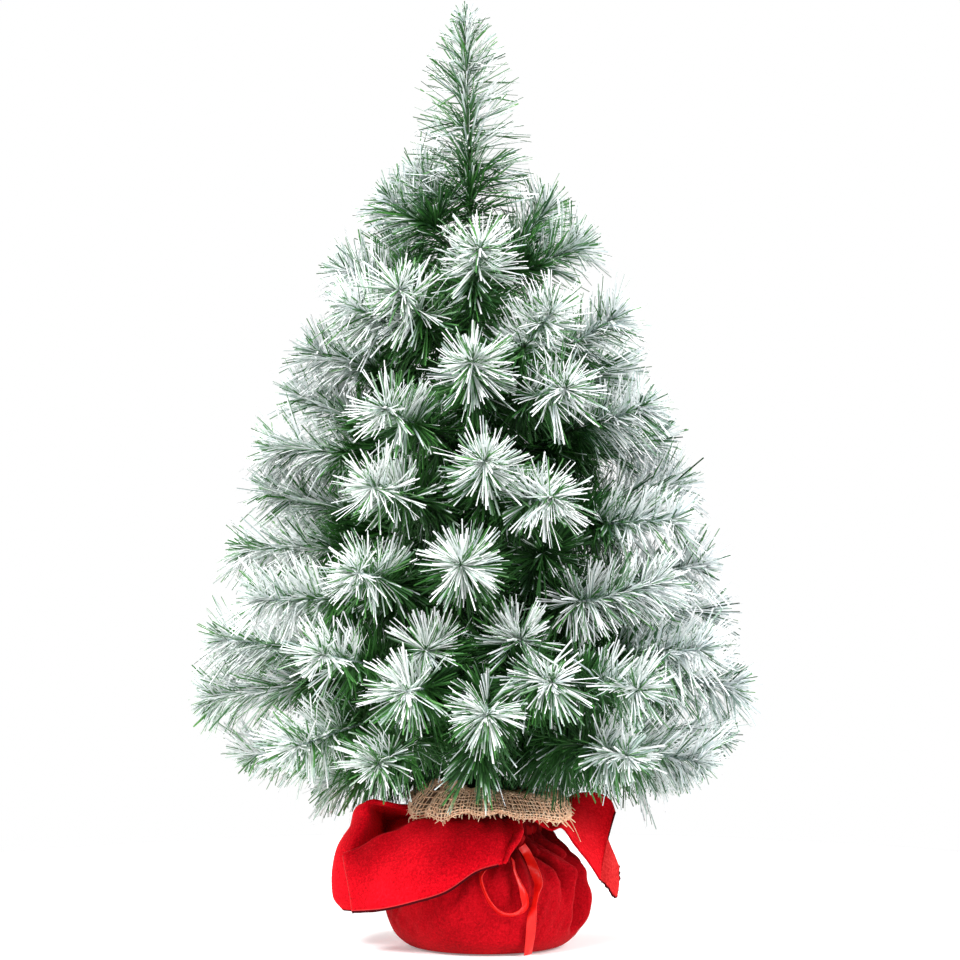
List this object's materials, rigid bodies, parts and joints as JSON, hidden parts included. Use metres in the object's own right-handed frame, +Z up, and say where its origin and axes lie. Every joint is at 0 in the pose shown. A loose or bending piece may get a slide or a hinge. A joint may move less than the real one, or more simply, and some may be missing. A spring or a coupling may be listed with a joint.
{
  "type": "artificial tabletop tree",
  "caption": "Small artificial pine with frosted PVC needle sprigs on bendable wire branches, in a weighted base wrapped in burlap and a ribbon-tied red cloth",
  "frame": {"origin": "centre of the flat underside of the cloth-wrapped base, on the surface the tree stands on", "axes": "+Z up along the tree; -Y is the front, the side that the ribbon hangs on; +X is to the right seen from the front"},
  "size_m": [0.338, 0.3369, 0.5959],
  "materials": {
    "cement": "matte",
    "tub_plastic": "matte",
    "socket_plastic": "satin",
    "steel_wire": "satin",
    "green_tape": "matte",
    "jute": "matte",
    "red_felt": "matte",
    "satin_ribbon": "satin",
    "frosted_needles": "matte"
  },
  "bodies": {
    "base_and_trunk": {"base_tub": "tub_plastic", "base_weight": "cement", "trunk_socket": "socket_plastic", "trunk_rod": "steel_wire", "trunk_wrap_lower": "green_tape", "trunk_wrap_middle": "green_tape", "trunk_wrap_upper": "green_tape", "burlap_wrap": "jute", "burlap_tie": "jute", "red_cloth": "red_felt", "ribbon_band": "satin_ribbon", "ribbon_knot": "satin_ribbon", "ribbon_loop": "satin_ribbon", "ribbon_tail": "satin_ribbon"},
    "branch_01": {"branch_01": "frosted_needles"},
    "branch_02": {"branch_02": "frosted_needles"},
    "branch_03": {"branch_03": "frosted_needles"},
    "branch_04": {"branch_04": "frosted_needles"},
    "branch_05": {"branch_05": "frosted_needles"},
    "branch_06": {"branch_06": "frosted_needles"},
    "branch_07": {"branch_07": "frosted_needles"},
    "branch_08": {"branch_08": "frosted_needles"},
    "branch_09": {"branch_09": "frosted_needles"},
    "branch_10": {"branch_10": "frosted_needles"},
    "branch_11": {"branch_11": "frosted_needles"},
    "branch_12": {"branch_12": "frosted_needles"},
    "branch_13": {"branch_13": "frosted_needles"},
    "branch_14": {"branch_14": "frosted_needles"},
    "branch_15": {"branch_15": "frosted_needles"},
    "branch_16": {"branch_16": "frosted_needles"},
    "branch_17": {"branch_17": "frosted_needles"},
    "branch_18": {"branch_18": "frosted_needles"},
    "branch_19": {"branch_19": "frosted_needles"},
    "branch_20": {"branch_20": "frosted_needles"},
    "branch_21": {"branch_21": "frosted_needles"},
    "branch_22": {"branch_22": "frosted_needles"},
    "branch_23": {"branch_23": "frosted_needles"},
    "branch_24": {"branch_24": "frosted_needles"},
    "branch_25": {"branch_25": "frosted_needles"},
    "branch_26": {"branch_26": "frosted_needles"},
    "branch_27": {"branch_27": "frosted_needles"},
    "branch_28": {"branch_28": "frosted_needles"},
    "branch_29": {"branch_29": "frosted_needles"},
    "branch_30": {"branch_30": "frosted_needles"},
    "branch_31": {"branch_31": "frosted_needles"},
    "branch_32": {"branch_32": "frosted_needles"},
    "branch_33": {"branch_33": "frosted_needles"},
    "branch_34": {"branch_34": "frosted_needles"},
    "branch_35": {"branch_35": "frosted_needles"},
    "branch_36": {"branch_36": "frosted_needles"},
    "branch_37": {"branch_37": "frosted_needles"},
    "branch_38": {"branch_38": "frosted_needles"},
    "branch_39": {"branch_39": "frosted_needles"},
    "branch_40": {"branch_40": "frosted_needles"},
    "branch_41": {"branch_41": "frosted_needles"},
    "branch_42": {"branch_42": "frosted_needles"},
    "leader": {"leader": "frosted_needles"}
  },
  "joints": [
    {"name": "fold_01", "type": "hinge", "parent": "base_and_trunk", "child": "branch_01", "pos_m": [-0.01271, 0.00361, 0.1328], "axis": [0.3256, 0.9455, 0], "range_deg": [-15, 35]},
    {"name": "fold_02", "type": "hinge", "parent": "base_and_trunk", "child": "branch_02", "pos_m": [0.00834, 0.00325, 0.1362], "axis": [0.2924, -0.9563, 0], "range_deg": [-15, 35]},
    {"name": "fold_03", "type": "hinge", "parent": "base_and_trunk", "child": "branch_03", "pos_m": [0.00634, -0.00691, 0.1403], "axis": [-0.6225, -0.7826, 0], "range_deg": [-15, 35]},
    {"name": "fold_04", "type": "hinge", "parent": "base_and_trunk", "child": "branch_04", "pos_m": [-0.00498, 0.01082, 0.1489], "axis": [0.9744, 0.225, 0], "range_deg": [-15, 35]},
    {"name": "fold_05", "type": "hinge", "parent": "base_and_trunk", "child": "branch_05", "pos_m": [0.00344, 0.00934, 0.1531], "axis": [0.8415, -0.5402, 0], "range_deg": [-15, 35]},
    {"name": "fold_06", "type": "hinge", "parent": "base_and_trunk", "child": "branch_06", "pos_m": [-0.01138, 0.00685, 0.1582], "axis": [0.617, 0.7869, 0], "range_deg": [-15, 35]},
    {"name": "fold_07", "type": "hinge", "parent": "base_and_trunk", "child": "branch_07", "pos_m": [-0.00984, -0.00849, 0.1609], "axis": [-0.7649, 0.6441, 0], "range_deg": [-15, 35]},
    {"name": "fold_08", "type": "hinge", "parent": "base_and_trunk", "child": "branch_08", "pos_m": [-0.00613, -0.01059, 0.1673], "axis": [-0.9537, 0.3007, 0], "range_deg": [-15, 35]},
    {"name": "fold_09", "type": "hinge", "parent": "base_and_trunk", "child": "branch_09", "pos_m": [0.00372, -0.00897, 0.1686], "axis": [-0.808, -0.5892, 0], "range_deg": [-15, 35]},
    {"name": "fold_10", "type": "hinge", "parent": "base_and_trunk", "child": "branch_10", "pos_m": [-0.01398, 0, 0.1724], "axis": [0, 1, 0], "range_deg": [-15, 35]},
    {"name": "fold_11", "type": "hinge", "parent": "base_and_trunk", "child": "branch_11", "pos_m": [-0.00097, -0.01093, 0.1746], "axis": [-0.9845, -0.1754, 0], "range_deg": [-15, 35]},
    {"name": "fold_12", "type": "hinge", "parent": "base_and_trunk", "child": "branch_12", "pos_m": [0.00722, -0.0045, 0.1752], "axis": [-0.4051, -0.9143, 0], "range_deg": [-15, 35]},
    {"name": "fold_13", "type": "hinge", "parent": "base_and_trunk", "child": "branch_13", "pos_m": [-0.00488, 0.01096, 0.1882], "axis": [0.9877, 0.1564, 0], "range_deg": [-15, 35]},
    {"name": "fold_14", "type": "hinge", "parent": "base_and_trunk", "child": "branch_14", "pos_m": [0.00355, 0.00875, 0.1968], "axis": [0.788, -0.6157, 0], "range_deg": [-15, 35]},
    {"name": "fold_15", "type": "hinge", "parent": "base_and_trunk", "child": "branch_15", "pos_m": [-0.01271, 0.00605, 0.2036], "axis": [0.5446, 0.8387, 0], "range_deg": [-15, 35]},
    {"name": "fold_16", "type": "hinge", "parent": "base_and_trunk", "child": "branch_16", "pos_m": [0.00757, -0.00008, 0.2115], "axis": [-0.007, -1, 0], "range_deg": [-15, 35]},
    {"name": "fold_17", "type": "hinge", "parent": "base_and_trunk", "child": "branch_17", "pos_m": [-0.01145, -0.00785, 0.2154], "axis": [-0.7071, 0.7071, 0], "range_deg": [-15, 35]},
    {"name": "fold_18", "type": "hinge", "parent": "base_and_trunk", "child": "branch_18", "pos_m": [-0.00523, 0.01099, 0.2204], "axis": [0.9903, 0.1392, 0], "range_deg": [-15, 35]},
    {"name": "fold_19", "type": "hinge", "parent": "base_and_trunk", "child": "branch_19", "pos_m": [-0.0044, -0.01008, 0.2286], "axis": [-0.9983, 0.0576, 0], "range_deg": [-15, 35]},
    {"name": "fold_20", "type": "hinge", "parent": "base_and_trunk", "child": "branch_20", "pos_m": [0.00069, 0.00892, 0.2428], "axis": [0.8829, -0.4695, 0], "range_deg": [-15, 35]},
    {"name": "fold_21", "type": "hinge", "parent": "base_and_trunk", "child": "branch_21", "pos_m": [-0.01422, 0.00051, 0.2478], "axis": [0.0506, 0.9987, 0], "range_deg": [-15, 35]},
    {"name": "fold_22", "type": "hinge", "parent": "base_and_trunk", "child": "branch_22", "pos_m": [-0.01047, 0.0079, 0.2504], "axis": [0.7826, 0.6225, 0], "range_deg": [-15, 35]},
    {"name": "fold_23", "type": "hinge", "parent": "base_and_trunk", "child": "branch_23", "pos_m": [0.00571, -0.00144, 0.257], "axis": [-0.1426, -0.9898, 0], "range_deg": [-15, 35]},
    {"name": "fold_24", "type": "hinge", "parent": "base_and_trunk", "child": "branch_24", "pos_m": [-0.00915, -0.00893, 0.266], "axis": [-0.8846, 0.4664, 0], "range_deg": [-15, 35]},
    {"name": "fold_25", "type": "hinge", "parent": "base_and_trunk", "child": "branch_25", "pos_m": [-0.00245, -0.00989, 0.2701], "axis": [-0.9789, -0.2045, 0], "range_deg": [-15, 35]},
    {"name": "fold_26", "type": "hinge", "parent": "base_and_trunk", "child": "branch_26", "pos_m": [0.00145, 0.00785, 0.294], "axis": [0.7771, -0.6293, 0], "range_deg": [-15, 35]},
    {"name": "fold_27", "type": "hinge", "parent": "base_and_trunk", "child": "branch_27", "pos_m": [-0.01147, 0.00774, 0.298], "axis": [0.766, 0.6428, 0], "range_deg": [-15, 35]},
    {"name": "fold_28", "type": "hinge", "parent": "base_and_trunk", "child": "branch_28", "pos_m": [0.00508, -0.00009, 0.3004], "axis": [-0.0087, -1, 0], "range_deg": [-15, 35]},
    {"name": "fold_29", "type": "hinge", "parent": "base_and_trunk", "child": "branch_29", "pos_m": [-0.01511, 0.00063, 0.301], "axis": [0.0628, 0.998, 0], "range_deg": [-15, 35]},
    {"name": "fold_30", "type": "hinge", "parent": "base_and_trunk", "child": "branch_30", "pos_m": [-0.00472, 0.01009, 0.3036], "axis": [0.9994, -0.0349, 0], "range_deg": [-15, 35]},
    {"name": "fold_31", "type": "hinge", "parent": "base_and_trunk", "child": "branch_31", "pos_m": [-0.00984, -0.00893, 0.3061], "axis": [-0.8838, 0.4679, 0], "range_deg": [-15, 35]},
    {"name": "fold_32", "type": "hinge", "parent": "base_and_trunk", "child": "branch_32", "pos_m": [-0.00543, -0.0101, 0.3294], "axis": [-1, -0.007, 0], "range_deg": [-15, 35]},
    {"name": "fold_33", "type": "hinge", "parent": "base_and_trunk", "child": "branch_33", "pos_m": [-0.00026, -0.00857, 0.3349], "axis": [-0.849, -0.5284, 0], "range_deg": [-15, 35]},
    {"name": "fold_34", "type": "hinge", "parent": "base_and_trunk", "child": "branch_34", "pos_m": [0.0044, 0.00042, 0.341], "axis": [0.0419, -0.9991, 0], "range_deg": [-15, 35]},
    {"name": "fold_35", "type": "hinge", "parent": "base_and_trunk", "child": "branch_35", "pos_m": [-0.01538, 0.00288, 0.3414], "axis": [0.2857, 0.9583, 0], "range_deg": [-15, 35]},
    {"name": "fold_36", "type": "hinge", "parent": "base_and_trunk", "child": "branch_36", "pos_m": [-0.00505, 0.00865, 0.3569], "axis": [0.9945, -0.1045, 0], "range_deg": [-12, 28]},
    {"name": "fold_37", "type": "hinge", "parent": "base_and_trunk", "child": "branch_37", "pos_m": [-0.01205, -0.00634, 0.3647], "axis": [-0.729, 0.6845, 0], "range_deg": [-12, 28]},
    {"name": "fold_38", "type": "hinge", "parent": "base_and_trunk", "child": "branch_38", "pos_m": [-0.01472, 0.00298, 0.3917], "axis": [0.342, 0.9397, 0], "range_deg": [-12, 28]},
    {"name": "fold_39", "type": "hinge", "parent": "base_and_trunk", "child": "branch_39", "pos_m": [-0.00579, 0.00867, 0.392], "axis": [0.9962, -0.0872, 0], "range_deg": [-12, 28]},
    {"name": "fold_40", "type": "hinge", "parent": "base_and_trunk", "child": "branch_40", "pos_m": [-0.00589, -0.00868, 0.392], "axis": [-0.9972, -0.075, 0], "range_deg": [-12, 28]},
    {"name": "fold_41", "type": "hinge", "parent": "base_and_trunk", "child": "branch_41", "pos_m": [0.00173, 0.00132, 0.4114], "axis": [0.1513, -0.9885, 0], "range_deg": [-9, 21]},
    {"name": "fold_42", "type": "hinge", "parent": "base_and_trunk", "child": "branch_42", "pos_m": [-0.01597, 0.00097, 0.4383], "axis": [0.1115, 0.9938, 0], "range_deg": [-4.5, 10.5]},
    {"name": "leader_bend", "type": "hinge", "parent": "base_and_trunk", "child": "leader", "pos_m": [-0.00771, 0, 0.462], "axis": [0, 1, 0], "range_deg": [-8, 8]}
  ],
  "couplings": [
    {"joint": "fold_01", "follows": "fold_06", "ratio": 1},
    {"joint": "fold_02", "follows": "fold_06", "ratio": 1},
    {"joint": "fold_03", "follows": "fold_06", "ratio": 1},
    {"joint": "fold_04", "follows": "fold_06", "ratio": 1},
    {"joint": "fold_05", "follows": "fold_06", "ratio": 1},
    {"joint": "fold_07", "follows": "fold_06", "ratio": 1},
    {"joint": "fold_08", "follows": "fold_06", "ratio": 1},
    {"joint": "fold_09", "follows": "fold_06", "ratio": 1},
    {"joint": "fold_10", "follows": "fold_06", "ratio": 1},
    {"joint": "fold_11", "follows": "fold_06", "ratio": 1},
    {"joint": "fold_12", "follows": "fold_06", "ratio": 1},
    {"joint": "fold_13", "follows": "fold_06", "ratio": 1},
    {"joint": "fold_14", "follows": "fold_06", "ratio": 1},
    {"joint": "fold_15", "follows": "fold_06", "ratio": 1},
    {"joint": "fold_16", "follows": "fold_06", "ratio": 1},
    {"joint": "fold_17", "follows": "fold_06", "ratio": 1},
    {"joint": "fold_18", "follows": "fold_06", "ratio": 1},
    {"joint": "fold_19", "follows": "fold_06", "ratio": 1},
    {"joint": "fold_20", "follows": "fold_06", "ratio": 1},
    {"joint": "fold_21", "follows": "fold_06", "ratio": 1},
    {"joint": "fold_22", "follows": "fold_06", "ratio": 1},
    {"joint": "fold_23", "follows": "fold_06", "ratio": 1},
    {"joint": "fold_24", "follows": "fold_06", "ratio": 1},
    {"joint": "fold_25", "follows": "fold_06", "ratio": 1},
    {"joint": "fold_26", "follows": "fold_06", "ratio": 1},
    {"joint": "fold_27", "follows": "fold_06", "ratio": 1},
    {"joint": "fold_28", "follows": "fold_06", "ratio": 1},
    {"joint": "fold_29", "follows": "fold_06", "ratio": 1},
    {"joint": "fold_30", "follows": "fold_06", "ratio": 1},
    {"joint": "fold_31", "follows": "fold_06", "ratio": 1},
    {"joint": "fold_32", "follows": "fold_06", "ratio": 1},
    {"joint": "fold_33", "follows": "fold_06", "ratio": 1},
    {"joint": "fold_34", "follows": "fold_06", "ratio": 1},
    {"joint": "fold_35", "follows": "fold_06", "ratio": 1},
    {"joint": "fold_36", "follows": "fold_06", "ratio": 0.8},
    {"joint": "fold_37", "follows": "fold_06", "ratio": 0.8},
    {"joint": "fold_38", "follows": "fold_06", "ratio": 0.8},
    {"joint": "fold_39", "follows": "fold_06", "ratio": 0.8},
    {"joint": "fold_40", "follows": "fold_06", "ratio": 0.8},
    {"joint": "fold_41", "follows": "fold_06", "ratio": 0.6},
    {"joint": "fold_42", "follows": "fold_06", "ratio": 0.3}
  ]
}
